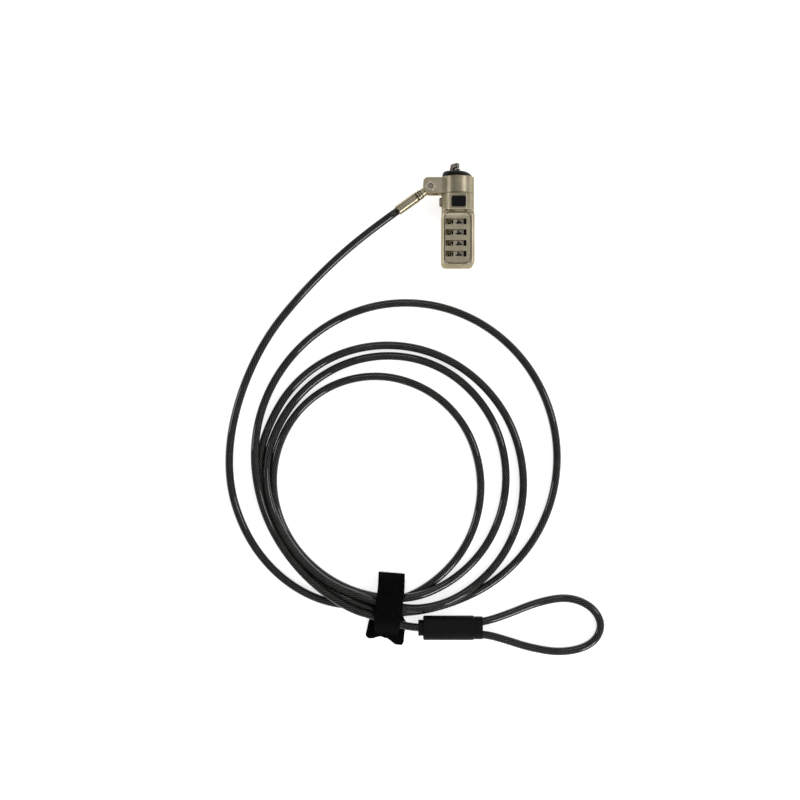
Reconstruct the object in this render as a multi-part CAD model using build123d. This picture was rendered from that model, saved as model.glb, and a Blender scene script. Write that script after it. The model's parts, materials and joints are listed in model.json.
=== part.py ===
from build123d import *
from math import cos, pi, radians, sin, tan
import os

# Combination cable lock for a laptop, lying on its flat back with its cable coiled beside it.
# Millimetres.  +Y points from the lock towards its T-bar, +Z away from the flat back.
# The origin is on the flat back, under the lock's axis.

# ---- driving dimensions --------------------------------------------------------------------
AXIS_Z = 8.5              # height of the lock's axis over its flat back
BARREL_R = 8.0            # round upper body and collar
SEAM_Y = 22.0             # joint between the lower body and the swivel collar
RUN = 0.05                # radial clearance of a running fit
GAP = 0.1                 # end clearance between parts that turn on each other

BLOCK_TOP_Y = 14.2        # squared lower body that holds the dials
BLOCK_BOTTOM_Y = -13.9
BLOCK_HALF = 8.0
BLOCK_Z = 17.6
BLOCK_ROLL = 4.2          # rolled upper end of the front face
BLOCK_TOE = 1.6           # rounding of the front face at the bottom end
BLOCK_SIDE = 1.6          # rounding of the long front edges
BLOCK_BACK = 1.0          # rounding of the long back edges
BLOCK_SHOULDER = 3.5      # plan corners at the upper end
BLOCK_FOOT = 2.2          # plan corners at the bottom end

PLATE_X = -0.4            # inset front plate
PLATE_HALF = 6.6
PLATE_TOP_Y = 12.3
PLATE_BOTTOM_Y = -12.9
PLATE_SEAT_Z = 16.3
PLATE_ARCH = 3.6
PLATE_CUT = 2.4           # clipped lower corners of the plate
PLATE_GROOVE = 0.15

PLUG_R = 5.2              # disc that closes the bottom end
PLUG_DEPTH = 1.6
PLUG_BEVEL = 0.25
RESET_R = 1.8
RESET_LENGTH = 2.4
RESET_SUNK = 0.1          # depth of the reset screw's end below the block's
RESET_SLOT = (0.5, 0.7)   # width and depth

BOSS_Y = 18.1             # small boss on the left of the upper body
BOSS_SIZE = (4.6, 3.0)    # length and height
BOSS_LENGTH = 2.1         # from inside the barrel's wall to its tip
BOSS_ROUND = 0.7

DIAL_COUNT = 4
DIAL_FIRST_Y = 7.55
DIAL_PITCH = 5.25
DIAL_R = 7.1              # over the corners of the ten-sided wheel
DIAL_WIDTH = 4.3
DIAL_BORE_R = 3.6
DIAL_POCKET_R = 7.3
DIAL_POCKET_WIDTH = 4.5
DIAL_SIDES = 10
DIAL_BEVEL = 0.3
WINDOW = (-6.3, 2.2)      # from left to right, across the dials
WINDOW_HEIGHT = 2.85
WINDOW_RELIEF = 0.2       # the housing's opening round the plate's window
MARK_X = 3.15             # black index mark beside each window
MARK_SIZE = (1.5, 2.8)
MARK_FLOOR_Z = 16.9
MARK_TOP_Z = 17.35

DETENT_Z = (0.9, 1.15)    # leaf spring under the dials
DETENT_HALF = 1.5
DETENT_Y = (-10.6, 10.0)
DETENT_ROOM = 0.4
BUMP_R = 0.7
BUMP_RISE = 0.15
BUMP_LENGTH = 1.6

RING_WIDTH = 3.0          # clutch ring inside each dial
RING_BORE_R = 1.45
KEYWAY_WIDTH = 1.3
KEYWAY_R = 2.6
SPINDLE_R = 1.35          # code spindle that runs through the rings
SPINDLE_Y = (-8.7, 22.3)
LUG_WIDTH = 1.1
LUG_R = 2.4
LUG_LENGTH = 1.2
LUG_OFFSET = 1.6          # from the middle of a dial to the near end of its lug
FLANGE_Y = (18.4, 19.4)
FLANGE_R = 2.8
SPRING_BORE_R = 2.9
SPRING_BORE_Y = (11.8, 23.0)
SPINDLE_SPRING_R = 2.2    # to the middle of the wire
SPINDLE_SPRING_WIRE = 0.45
SPINDLE_SPRING_TURNS = 5
WIRE_STEPS = 14           # straight lengths in a turn of a spring

BEZEL_HALF = 4.3          # raised surround of the button
BEZEL_Y = (13.4, 21.7)
BEZEL_Z = 17.2
BEZEL_ROUND = 0.6
BUTTON_X = 0.15
BUTTON_Y = 17.55
BUTTON_SIZE = (7.0, 5.3)
BUTTON_Z = (15.0, 17.9)
BUTTON_CORNER = 1.1
BUTTON_ROUND = 0.6
BUTTON_RIM = 0.35         # foot of the button, wider all round
BUTTON_RIM_HEIGHT = 0.8
BUTTON_TRAVEL = 1.6
BUTTON_FLOOR = BUTTON_Z[0] - BUTTON_TRAVEL - 0.2
BUTTON_WELL_R = 1.6       # well that holds the foot of the button's spring
BUTTON_WELL_Z = 11.9
BUTTON_SPRING_R = 1.3     # to the middle of the wire
BUTTON_SPRING_WIRE = 0.3
BUTTON_SPRING_TURNS = 3

SPIGOT_R = 5.5            # neck that carries the swivel collar
SPIGOT_END_Y = 30.5
CAP_Y = (30.5, 31.5, 33.2)
CAP_R = (7.4, 7.1, 4.7)
CAP_X = (-0.2, -0.5, -1.7)

TBAR_X = -1.4
TBAR_TILT = 25            # degrees that the T-bar's head leans from upright, towards +X
TBAR_SHAFT_R = 1.5
TBAR_NECK_R = 1.1
TBAR_Y = (24.6, 28.3, 35.0, 37.1)   # shaft end, neck, underside of the head, tip
TBAR_HEAD = (6.4, 2.8)    # length and thickness of the head
TBAR_HEAD_ROUND = 0.55
TBAR_HEAD_COVER = 0.2     # metal left over the end of the neck
GUIDE_R = 0.75
GUIDE_SPREAD = 2.0
GUIDE_Y = (28.6, 34.9)
GUIDE_ROUND = 0.2

RIVET_X = -13.45
RIVET_Y = 25.5
RIVET_R = 1.6
RIVET_HEAD_R = 2.4
RIVET_HEAD = 0.45
RIVET_HEAD_ROUND = 0.2
RIVET_HOLLOW_R = 1.35
RIVET_HOLLOW_DEPTH = 0.5
COLLAR_ROUND = 0.3
LUG_LEFT_X = -17.1
LUG_Y = (22.1, 29.9)
LUG_THICK = 10.0
LUG_GAP = 5.0
LUG_WEB_X = -9.6
LUG_ROOT_X = -4.0         # where the lug ends inside the ring
LUG_BEVEL = 0.25
LUG_TOP_ROUND = 2.3
LUG_LOW_ROUND = 3.2

FITTING_HEADING = 215.5   # degrees from +X, from the rivet towards the cable
EYE_R = 3.3
EYE_THICK = 4.6
EYE_BEVEL = 0.3
SHANK_R = 2.1
RIB_R = 2.5
RIB_AT = (5.9, 7.1)
RIB_WIDTH = 0.6
FERRULE_R = 2.55
FERRULE_SPAN = (8.2, 19.8)   # distances from the rivet
FERRULE_BEVEL = 0.25

CABLE_R = 2.0
COIL_OUTER = (-25.0, -108.2, 77.3)   # x, y and radius of the coil's outline
COIL_INNER = (-39.5, -122.9, 50.3)   # x, y and radius of the space within the coil
COIL_HEIGHT = 8.0

SLEEVE_X = (-19.4, -17.0, 8.3, 12.5)   # small collar, main body, end collar
SLEEVE_Y = -192.7
SLEEVE_Z = 4.1
SLEEVE_BODY = (12.1, 8.2)
SLEEVE_TAIL_COLLAR = (7.9, 6.4)
SLEEVE_LOOP_COLLAR = (11.3, 7.4)
SLEEVE_BEVEL = 0.5
CRIMP_X = (-15.0, 7.0)
CRIMP_SIZE = (10.0, 6.0)

COIL_UNDER = 0.3          # room between the coil and the strap's lower run
STRAP_X = -33.0
STRAP_Y = (-200.0, -165.0)
STRAP_WIDTH = 13.0
STRAP_THICK = 1.3
STRAP_TOP_Z = 9.9
STRAP_ROUND = 4.2

# Cable routes, as the corners of straight runs that tangent arcs join.
LEAD_ROUTE = [
    (-29.57, 14.0, 8.5), (-43.0, 4.42, 8.5), (-60.5, -9.6, 4.6), (-78.5, -27.5, 2.4),
    (-94.8, -47.5, 2.0), (-107.0, -72.5, 2.0), (-113.6, -98.5, 2.0), (-113.6, -122.0, 2.0),
    (-105.5, -146.5, 2.0), (-90.5, -167.5, 2.0), (-70.0, -180.0, 2.0), (-49.5, -183.5, 2.0),
]
TAIL_ROUTE = [(-43.5, -187.0, 3.4), (-31.5, -190.6, 3.9), (-19.4, -192.7, 4.1)]
LOOP_ROUTE = [
    (12.5, -189.9, 4.1), (24.0, -186.6, 3.0), (40.0, -180.2, 2.0), (55.5, -177.4, 2.0),
    (67.8, -182.6, 2.0), (72.8, -192.3, 2.0), (67.0, -202.0, 2.0), (52.0, -205.6, 2.0),
    (36.0, -202.9, 2.0), (24.0, -198.8, 3.0), (12.5, -195.5, 4.1),
]


# ---- helpers -------------------------------------------------------------------------------
def along_y(radius, start, end, x=0.0, z=AXIS_Z):
    """A cylinder parallel to the lock's axis."""
    return Pos(x, (start + end) / 2, z) * Rot(90, 0, 0) * Cylinder(radius, end - start)


def along_x(radius, start, end):
    """A cylinder on the local X axis."""
    return Pos((start + end) / 2, 0, 0) * Rot(0, 90, 0) * Cylinder(radius, end - start)


def square_to_x(x, y, z):
    """The plane through a point that a section along X is drawn on."""
    return Plane((x, y, z), x_dir=(0, 1, 0), z_dir=(1, 0, 0))


def block(x, y, z):
    """A box from pairs of limits."""
    return Pos(sum(x) / 2, sum(y) / 2, sum(z) / 2) * Box(x[1] - x[0], y[1] - y[0], z[1] - z[0])


def dial_y(index):
    """The middle of one dial, along the lock."""
    return DIAL_FIRST_Y - DIAL_PITCH * index


def cable_tube(route):
    """Round cable along straight runs with arcs as large as the runs allow."""
    points = [Vector(*point) for point in route]
    corner_radii = []
    for before, here, after in zip(points, points[1:], points[2:]):
        arriving, leaving = here - before, after - here
        half_turn = radians(arriving.get_angle(leaving) / 2)
        corner_radii.append(0.45 * min(arriving.length, leaving.length) / tan(half_turn))
    path = FilletPolyline(*points, radius=corner_radii)
    section = Plane(origin=path @ 0, z_dir=path % 0) * Circle(CABLE_R)
    tube = sweep(section, path=path)
    expected = path.length * pi * CABLE_R ** 2
    print(f"cable length {path.length:.1f}, volume ratio {tube.volume / expected:.4f}, "
          f"radii {[round(radius) for radius in corner_radii]}")
    return tube


def coil_spring(radius, wire, turns, length):
    """A compression spring on the local Z axis, from z = 0, of short straight lengths of wire."""
    steps = turns * WIRE_STEPS
    points = []
    for step in range(steps + 1):
        angle = 2 * pi * step / WIRE_STEPS
        height = wire + (length - 2 * wire) * step / steps
        points.append((radius * cos(angle), radius * sin(angle), height))
    path = Polyline(*points)
    section = Plane(origin=path @ 0, z_dir=path % 0) * RegularPolygon(wire / 2, 6)
    return sweep(section, path=path, transition=Transition.RIGHT)


# ---- lower body ----------------------------------------------------------------------------
def block_form():
    """The squared lower body: side profile, plan and cross-section meet in one form."""
    low, high = BLOCK_BOTTOM_Y, BLOCK_TOP_Y
    with BuildSketch(Plane.YZ) as side:
        with BuildLine():
            Line((low, 0), (high, 0))
            Line((high, 0), (high, BLOCK_Z - BLOCK_ROLL))
            RadiusArc((high, BLOCK_Z - BLOCK_ROLL), (high - BLOCK_ROLL, BLOCK_Z), -BLOCK_ROLL)
            Line((high - BLOCK_ROLL, BLOCK_Z), (low + BLOCK_TOE, BLOCK_Z))
            RadiusArc((low + BLOCK_TOE, BLOCK_Z), (low, BLOCK_Z - BLOCK_TOE), -BLOCK_TOE)
            Line((low, BLOCK_Z - BLOCK_TOE), (low, 0))
        make_face()
    profile = extrude(side.sketch, amount=BLOCK_HALF, both=True)

    plan = Pos(0, (low + high) / 2) * Rectangle(2 * BLOCK_HALF, high - low)
    corners = plan.vertices().sort_by(Axis.Y)
    plan = fillet(corners[:2], BLOCK_FOOT)
    plan = fillet(plan.vertices().sort_by(Axis.Y)[-2:], BLOCK_SHOULDER)
    plan_form = extrude(plan, amount=BLOCK_Z)

    section = Plane.XZ * Pos(0, BLOCK_Z / 2) * Rectangle(2 * BLOCK_HALF, BLOCK_Z)
    section = fillet(section.vertices().sort_by(Axis.Z)[-2:], BLOCK_SIDE)
    section = fillet(section.vertices().sort_by(Axis.Z)[:2], BLOCK_BACK)
    length_form = extrude(section, amount=2 * (high - low), both=True)
    return profile & plan_form & length_form


def plate_outline(margin):
    """Plan of the front plate, arched at the top and clipped at the bottom."""
    left, right = PLATE_X - PLATE_HALF - margin, PLATE_X + PLATE_HALF + margin
    low, high = PLATE_BOTTOM_Y - margin, PLATE_TOP_Y + margin
    sheet = Pos((left + right) / 2, (low + high) / 2) * Rectangle(right - left, high - low)
    sheet = fillet(sheet.vertices().sort_by(Axis.Y)[-2:], PLATE_ARCH)
    sheet = chamfer(sheet.vertices().sort_by(Axis.Y)[:2], PLATE_CUT)
    return sheet


def window(index, margin, z):
    """The opening over one dial."""
    middle, half = dial_y(index), WINDOW_HEIGHT / 2 + margin
    return block((WINDOW[0] - margin, WINDOW[1] + margin), (middle - half, middle + half), z)


def button_form(grow, z):
    """Rounded plan of the push button, drawn between two heights."""
    width, height = BUTTON_SIZE[0] + 2 * grow, BUTTON_SIZE[1] + 2 * grow
    plan = Pos(BUTTON_X, BUTTON_Y, z[0]) * RectangleRounded(width, height, BUTTON_CORNER)
    return extrude(plan, amount=z[1] - z[0])


def housing():
    """Cast lower body with its dial pockets, button pocket, bezel and swivel spigot."""
    body = block_form()
    body += along_y(BARREL_R, 0, SEAM_Y)
    bezel = block((-BEZEL_HALF, BEZEL_HALF), BEZEL_Y, (AXIS_Z, BEZEL_Z))
    bezel = fillet(bezel.edges().group_by(Axis.Z)[-1], BEZEL_ROUND)
    body += bezel
    boss = Plane((-BARREL_R + 1, BOSS_Y, AXIS_Z), x_dir=(0, 1, 0), z_dir=(-1, 0, 0))
    boss = extrude(boss * SlotOverall(*BOSS_SIZE), amount=BOSS_LENGTH)
    body += fillet(boss.edges().group_by(Axis.X)[0], BOSS_ROUND)
    body += along_y(SPIGOT_R, SEAM_Y, SPIGOT_END_Y)

    body -= extrude(Pos(0, 0, PLATE_SEAT_Z) * plate_outline(PLATE_GROOVE), amount=BLOCK_Z)
    for index in range(DIAL_COUNT):
        middle, half = dial_y(index), DIAL_POCKET_WIDTH / 2
        body -= along_y(DIAL_POCKET_R, middle - half, middle + half)
        body -= window(index, WINDOW_RELIEF, (AXIS_Z, BLOCK_Z))
    body -= along_y(KEYWAY_R, BLOCK_BOTTOM_Y, SPRING_BORE_Y[0])
    body -= along_y(SPRING_BORE_R, *SPRING_BORE_Y)
    body -= along_y(PLUG_R, BLOCK_BOTTOM_Y, BLOCK_BOTTOM_Y + PLUG_DEPTH)
    body -= detent_slot()
    body -= button_form(RUN, (BUTTON_FLOOR, BLOCK_Z))
    body -= button_form(BUTTON_RIM + GAP, (BUTTON_FLOOR, BUTTON_Z[0] + BUTTON_RIM_HEIGHT + GAP))
    body -= Pos(BUTTON_X, BUTTON_Y, BUTTON_FLOOR) * Cylinder(
        BUTTON_WELL_R, 2 * (BUTTON_FLOOR - BUTTON_WELL_Z))
    body -= along_y(TBAR_SHAFT_R + RUN, TBAR_Y[0] - GAP, TBAR_Y[1] + GAP, TBAR_X)
    body -= along_y(TBAR_NECK_R + RUN, TBAR_Y[1], SPIGOT_END_Y, TBAR_X)
    for x, z in guide_places():
        body -= along_y(GUIDE_R, GUIDE_Y[0], SPIGOT_END_Y, x, z)
    return body


def front_plate():
    """Inset plate that follows the block's front, with the dial windows and mark pockets."""
    plate = block_form() & extrude(Pos(0, 0, PLATE_SEAT_Z) * plate_outline(0), amount=BLOCK_Z)
    for index in range(DIAL_COUNT):
        plate -= window(index, 0, (PLATE_SEAT_Z, BLOCK_Z))
        plate -= Pos(MARK_X, dial_y(index), BLOCK_Z) * Box(
            *MARK_SIZE, 2 * (BLOCK_Z - MARK_FLOOR_Z))
    return plate


def index_marks():
    """Black inlays that show which digits make the code."""
    middle = (MARK_FLOOR_Z + MARK_TOP_Z) / 2
    marks = [Pos(MARK_X, dial_y(index), middle) * Box(*MARK_SIZE, MARK_TOP_Z - MARK_FLOOR_Z)
             for index in range(DIAL_COUNT)]
    return Compound(marks)


def end_plug():
    """Disc that closes the bottom end round the reset screw."""
    plug = along_y(PLUG_R, BLOCK_BOTTOM_Y, BLOCK_BOTTOM_Y + PLUG_DEPTH)
    plug -= along_y(RESET_R + RUN, BLOCK_BOTTOM_Y, BLOCK_BOTTOM_Y + PLUG_DEPTH)
    rim = plug.edges().filter_by(GeomType.CIRCLE).group_by(Axis.Y)[0].sort_by(SortBy.RADIUS)[-1]
    return chamfer(rim, PLUG_BEVEL)


def reset_screw():
    """Slotted screw that frees the dials for a new code."""
    screw = along_y(RESET_R, BLOCK_BOTTOM_Y + RESET_SUNK, BLOCK_BOTTOM_Y + RESET_LENGTH)
    slot_floor = BLOCK_BOTTOM_Y + RESET_SUNK + RESET_SLOT[1]
    screw -= block((-RESET_R, RESET_R), (BLOCK_BOTTOM_Y, slot_floor),
                   (AXIS_Z - RESET_SLOT[0] / 2, AXIS_Z + RESET_SLOT[0] / 2))
    return screw


# ---- dials and code spindle ----------------------------------------------------------------
def detent_slot():
    """Room for the detent strip under the dials."""
    return block((-DETENT_HALF, DETENT_HALF), DETENT_Y, (DETENT_Z[0], DETENT_Z[1] + DETENT_ROOM))


def detent_strip():
    """Leaf spring whose four low bumps click into the dials."""
    strip = block((-DETENT_HALF, DETENT_HALF), DETENT_Y, DETENT_Z)
    top = DETENT_Z[1] + BUMP_RISE
    for index in range(DIAL_COUNT):
        bump = Pos(0, dial_y(index), top - BUMP_R) * Rot(90, 0, 0) * Cylinder(BUMP_R, BUMP_LENGTH)
        strip += bump & block((-BUMP_R, BUMP_R), DETENT_Y, (DETENT_Z[0], top))
    return strip


def dial_wheel(index):
    """Ten-sided number wheel with broken edges."""
    middle = dial_y(index)
    flats = Plane.XZ * RegularPolygon(DIAL_R, DIAL_SIDES)
    wheel = Pos(0, middle, AXIS_Z) * extrude(flats, amount=DIAL_WIDTH / 2, both=True)
    rims = wheel.edges().group_by(Axis.Y)
    wheel = chamfer(rims[0] + rims[-1], DIAL_BEVEL)
    return wheel - along_y(DIAL_BORE_R, middle - DIAL_WIDTH, middle + DIAL_WIDTH)


def clutch_ring(index):
    """Keyed ring inside a dial that the spindle's lug has to pass."""
    middle, half = dial_y(index), RING_WIDTH / 2
    ring = along_y(DIAL_BORE_R, middle - half, middle + half)
    ring -= along_y(RING_BORE_R, middle - half, middle + half)
    ring -= block((-KEYWAY_WIDTH / 2, KEYWAY_WIDTH / 2), (middle - half, middle + half),
                  (AXIS_Z - KEYWAY_R, AXIS_Z))
    return ring


def code_spindle():
    """Shaft through the dials, with one lug for each clutch ring and a flange for its spring."""
    spindle = along_y(SPINDLE_R, *SPINDLE_Y)
    spindle += along_y(FLANGE_R, *FLANGE_Y)
    for index in range(DIAL_COUNT):
        near = dial_y(index) + LUG_OFFSET
        spindle += block((-LUG_WIDTH / 2, LUG_WIDTH / 2), (near, near + LUG_LENGTH),
                         (AXIS_Z - LUG_R, AXIS_Z))
    return spindle


def spindle_spring():
    """Spring round the spindle, between the housing's step and the flange."""
    length = FLANGE_Y[0] - SPRING_BORE_Y[0]
    return (Pos(0, FLANGE_Y[0], AXIS_Z) * Rot(90, 0, 0)
            * coil_spring(SPINDLE_SPRING_R, SPINDLE_SPRING_WIRE, SPINDLE_SPRING_TURNS, length))


# ---- button --------------------------------------------------------------------------------
def button():
    """Domed push button with a wider foot that keeps it in the bezel."""
    cap = button_form(0, BUTTON_Z)
    cap = fillet(cap.edges().group_by(Axis.Z)[-1], BUTTON_ROUND)
    return cap + button_form(BUTTON_RIM, (BUTTON_Z[0], BUTTON_Z[0] + BUTTON_RIM_HEIGHT))


def button_spring():
    """Return spring under the button."""
    length = BUTTON_Z[0] - BUTTON_WELL_Z
    spring = coil_spring(BUTTON_SPRING_R, BUTTON_SPRING_WIRE, BUTTON_SPRING_TURNS, length)
    return Pos(BUTTON_X, BUTTON_Y, BUTTON_WELL_Z) * spring


# ---- nose and T-bar ------------------------------------------------------------------------
def tbar_direction(angle):
    """Unit X and Z of a direction square to the lock's axis, from upright towards +X."""
    return sin(radians(angle)), cos(radians(angle))


def guide_places():
    """Centres of the two guide pins, across the head at rest."""
    across_x, across_z = tbar_direction(TBAR_TILT + 90)
    return [(TBAR_X + side * GUIDE_SPREAD * across_x, AXIS_Z + side * GUIDE_SPREAD * across_z)
            for side in (-1, 1)]


def nose_cap():
    """Black domed cushion that presses on the laptop, low on one side."""
    rings = [Plane.XZ.offset(-y) * Pos(x, AXIS_Z) * Circle(radius)
             for x, y, radius in zip(CAP_X, CAP_Y, CAP_R)]
    cap = loft(rings)
    cap -= along_y(TBAR_NECK_R + RUN, CAP_Y[0] - 1, CAP_Y[-1] + 1, TBAR_X)
    for x, z in guide_places():
        cap -= along_y(GUIDE_R, CAP_Y[0] - 1, CAP_Y[-1] + 1, x, z)
    return cap


def guide_pins():
    """Two fixed pins that stop the lock from turning in the laptop's slot."""
    pins = []
    for x, z in guide_places():
        pin = along_y(GUIDE_R, *GUIDE_Y, x, z)
        pins.append(fillet(pin.edges().group_by(Axis.Y)[-1], GUIDE_ROUND))
    return Compound(pins)


def tbar():
    """Turning spindle with the oblong head that grips behind the laptop's slot."""
    shaft_end, neck, underside, tip = TBAR_Y
    bar = along_y(TBAR_SHAFT_R, shaft_end, neck, TBAR_X)
    bar += along_y(TBAR_NECK_R, neck, tip - TBAR_HEAD_COVER, TBAR_X)
    head = Plane.XZ.offset(-underside) * SlotOverall(*TBAR_HEAD, rotation=90)
    head = extrude(head, amount=-(tip - underside))
    head = fillet(head.edges().group_by(Axis.Y)[-1], TBAR_HEAD_ROUND)
    return bar + Pos(TBAR_X, 0, AXIS_Z) * Rot(0, TBAR_TILT, 0) * head


# ---- swivel collar and rivet ---------------------------------------------------------------
def collar():
    """Swivel ring with the two-eared lug that holds the cable's eye."""
    ring = along_y(BARREL_R, SEAM_Y + GAP, SPIGOT_END_Y - GAP)
    ring = fillet(ring.edges().filter_by(GeomType.CIRCLE), COLLAR_ROUND)
    lug = Pos((LUG_LEFT_X + LUG_ROOT_X) / 2, sum(LUG_Y) / 2, 0) * Rectangle(
        LUG_ROOT_X - LUG_LEFT_X, LUG_Y[1] - LUG_Y[0])
    left = lug.vertices().group_by(Axis.X)[0].sort_by(Axis.Y)
    lug = fillet(left[-1:], LUG_TOP_ROUND)
    left = lug.vertices().sort_by(Axis.Y)[:2].sort_by(Axis.X)
    lug = fillet(left[:1], LUG_LOW_ROUND)
    ears = extrude(Pos(0, 0, AXIS_Z - LUG_THICK / 2) * lug, amount=LUG_THICK)
    rims = ears.faces().filter_by(Axis.Z).edges()
    ears = chamfer(rims.filter_by(lambda edge: edge.center().X < LUG_ROOT_X - 2), LUG_BEVEL)
    body = ring + ears
    body -= block((LUG_LEFT_X - 1, LUG_WEB_X), (LUG_Y[0] - 1, LUG_Y[1] + 1),
                  (AXIS_Z - LUG_GAP / 2, AXIS_Z + LUG_GAP / 2))
    body -= Pos(RIVET_X, RIVET_Y, AXIS_Z) * Cylinder(RIVET_R, 2 * LUG_THICK)
    return body - along_y(SPIGOT_R + RUN, SEAM_Y, SPIGOT_END_Y)


def rivet():
    """Tubular rivet through the lug, its rolled rims standing proud on both ears."""
    half = LUG_THICK / 2 + RIVET_HEAD
    pin = Cylinder(RIVET_R, 2 * half)
    for side in (-1, 1):
        rim = Pos(0, 0, side * (half - RIVET_HEAD / 2)) * Cylinder(RIVET_HEAD_R, RIVET_HEAD)
        outer = rim.edges().sort_by(Axis.Z)[-1 if side > 0 else 0]
        pin += fillet(outer, RIVET_HEAD_ROUND)
        pin -= Pos(0, 0, side * half) * Cylinder(RIVET_HOLLOW_R, 2 * RIVET_HOLLOW_DEPTH)
    return Pos(RIVET_X, RIVET_Y, AXIS_Z) * pin


# ---- cable side ----------------------------------------------------------------------------
def on_fitting(shape):
    """Place a shape drawn along +X from the rivet on the fitting's heading."""
    return Pos(RIVET_X, RIVET_Y, AXIS_Z) * Rot(0, 0, FITTING_HEADING) * shape


def eye_fitting():
    """Eye round the rivet, with a ribbed shank."""
    eye = Cylinder(EYE_R, EYE_THICK)
    eye = chamfer(eye.edges().filter_by(GeomType.CIRCLE), EYE_BEVEL)
    eye += along_x(SHANK_R, 0, FERRULE_SPAN[0])
    for start in RIB_AT:
        eye += along_x(RIB_R, start, start + RIB_WIDTH)
    return on_fitting(eye - Cylinder(RIVET_R + RUN, 2 * EYE_THICK))


def ferrule():
    """Swaged metal sleeve on the cable's end."""
    tube = along_x(FERRULE_R, *FERRULE_SPAN)
    tube = chamfer(tube.edges().filter_by(GeomType.CIRCLE), FERRULE_BEVEL)
    return on_fitting(tube)


def cable_coil():
    """Outer shape of the coiled turns."""
    outer = Pos(COIL_OUTER[0], COIL_OUTER[1]) * Circle(COIL_OUTER[2])
    inner = Pos(COIL_INNER[0], COIL_INNER[1]) * Circle(COIL_INNER[2])
    coil = extrude(outer - inner, amount=COIL_HEIGHT)
    half = STRAP_WIDTH / 2 + COIL_UNDER
    return coil - block((STRAP_X - half, STRAP_X + half), STRAP_Y, (-1, STRAP_THICK + COIL_UNDER))


def oval(size, x):
    """Oval section square to X, at x."""
    return square_to_x(x, SLEEVE_Y, SLEEVE_Z) * RectangleRounded(*size, size[1] / 2 - 0.1)


def loop_sleeve():
    """Moulded black sleeve over the crimp, with a collar at each end."""
    tail_end, body_start, body_end, loop_end = SLEEVE_X
    sleeve = extrude(oval(SLEEVE_BODY, body_start), amount=body_end - body_start)
    ends = sleeve.edges().group_by(Axis.X)
    sleeve = chamfer(ends[0] + ends[-1], SLEEVE_BEVEL)
    sleeve += extrude(oval(SLEEVE_TAIL_COLLAR, tail_end), amount=body_start - tail_end)
    sleeve += extrude(oval(SLEEVE_LOOP_COLLAR, body_end), amount=loop_end - body_end)
    return sleeve - loop_crimp()


def loop_crimp():
    """Aluminium crimp that clamps the cable to itself, inside the sleeve."""
    return extrude(oval(CRIMP_SIZE, CRIMP_X[0]), amount=CRIMP_X[1] - CRIMP_X[0])


def strap():
    """Hook-and-loop strap round the turns."""
    middle_y, length = sum(STRAP_Y) / 2, STRAP_Y[1] - STRAP_Y[0]
    place = square_to_x(STRAP_X, middle_y, STRAP_TOP_Z / 2)
    outer = place * RectangleRounded(length, STRAP_TOP_Z, STRAP_ROUND)
    inner = place * RectangleRounded(
        length - 2 * STRAP_THICK, STRAP_TOP_Z - 2 * STRAP_THICK, STRAP_ROUND - STRAP_THICK)
    return extrude(outer - inner, amount=STRAP_WIDTH / 2, both=True)


# ---- all pieces ----------------------------------------------------------------------------
def pieces():
    """Every sub-part, by name."""
    made = {
        "housing": housing(),
        "front_plate": front_plate(),
        "index_marks": index_marks(),
        "end_plug": end_plug(),
        "reset_screw": reset_screw(),
        "detent_strip": detent_strip(),
        "code_spindle": code_spindle(),
        "spindle_spring": spindle_spring(),
        "push_button": button(),
        "button_spring": button_spring(),
        "nose_cap": nose_cap(),
        "guide_pins": guide_pins(),
        "t_bar": tbar(),
        "swivel_collar": collar(),
        "rivet": rivet(),
        "eye_fitting": eye_fitting(),
        "cable_ferrule": ferrule(),
        "cable_lead": cable_tube(LEAD_ROUTE),
        "cable_coil": cable_coil(),
        "cable_tail": cable_tube(TAIL_ROUTE),
        "cable_end_loop": cable_tube(LOOP_ROUTE),
        "loop_sleeve": loop_sleeve(),
        "loop_crimp": loop_crimp(),
        "tie_strap": strap(),
    }
    for index in range(DIAL_COUNT):
        made[f"dial_wheel_{index + 1}"] = dial_wheel(index)
        made[f"clutch_ring_{index + 1}"] = clutch_ring(index)
    return made


os.makedirs("parts", exist_ok=True)
for name, shape in pieces().items():
    export_step(shape, f"parts/{name}.step")
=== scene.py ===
import json
from math import cos, pi, radians, sin

import bmesh
import bpy
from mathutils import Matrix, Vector


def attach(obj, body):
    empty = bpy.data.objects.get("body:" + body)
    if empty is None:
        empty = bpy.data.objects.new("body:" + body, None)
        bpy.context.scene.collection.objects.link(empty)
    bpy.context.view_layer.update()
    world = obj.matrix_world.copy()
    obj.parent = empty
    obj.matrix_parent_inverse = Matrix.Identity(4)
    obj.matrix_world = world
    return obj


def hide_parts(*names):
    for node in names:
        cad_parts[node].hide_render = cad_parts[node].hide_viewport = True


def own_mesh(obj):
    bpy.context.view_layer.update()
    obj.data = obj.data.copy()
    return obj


bl_info = {
    "name": "Laptop cable lock look",
    "version": (1, 0, 0),
    "blender": (4, 5, 0),
    "location": "3D View > Sidebar > Cable lock",
    "description": "Cable, strap, dial digits, finishes and stage for a laptop cable lock",
    "category": "Object",
}

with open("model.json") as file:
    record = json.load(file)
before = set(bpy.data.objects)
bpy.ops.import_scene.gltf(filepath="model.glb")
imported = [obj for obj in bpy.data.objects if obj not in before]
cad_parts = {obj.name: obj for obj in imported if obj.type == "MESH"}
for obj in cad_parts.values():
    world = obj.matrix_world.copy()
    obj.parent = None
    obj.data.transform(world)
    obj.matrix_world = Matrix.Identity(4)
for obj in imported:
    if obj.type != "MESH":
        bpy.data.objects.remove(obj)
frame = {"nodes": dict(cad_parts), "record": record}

MM = 0.001
AXIS_Z = 8.5                  # height of the lock's axis over its flat back
CABLE_D = 4.0
RIVET = (-13.45, 25.5)
FITTING_HEADING = 215.5       # degrees from +X, from the rivet towards the cable

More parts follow.
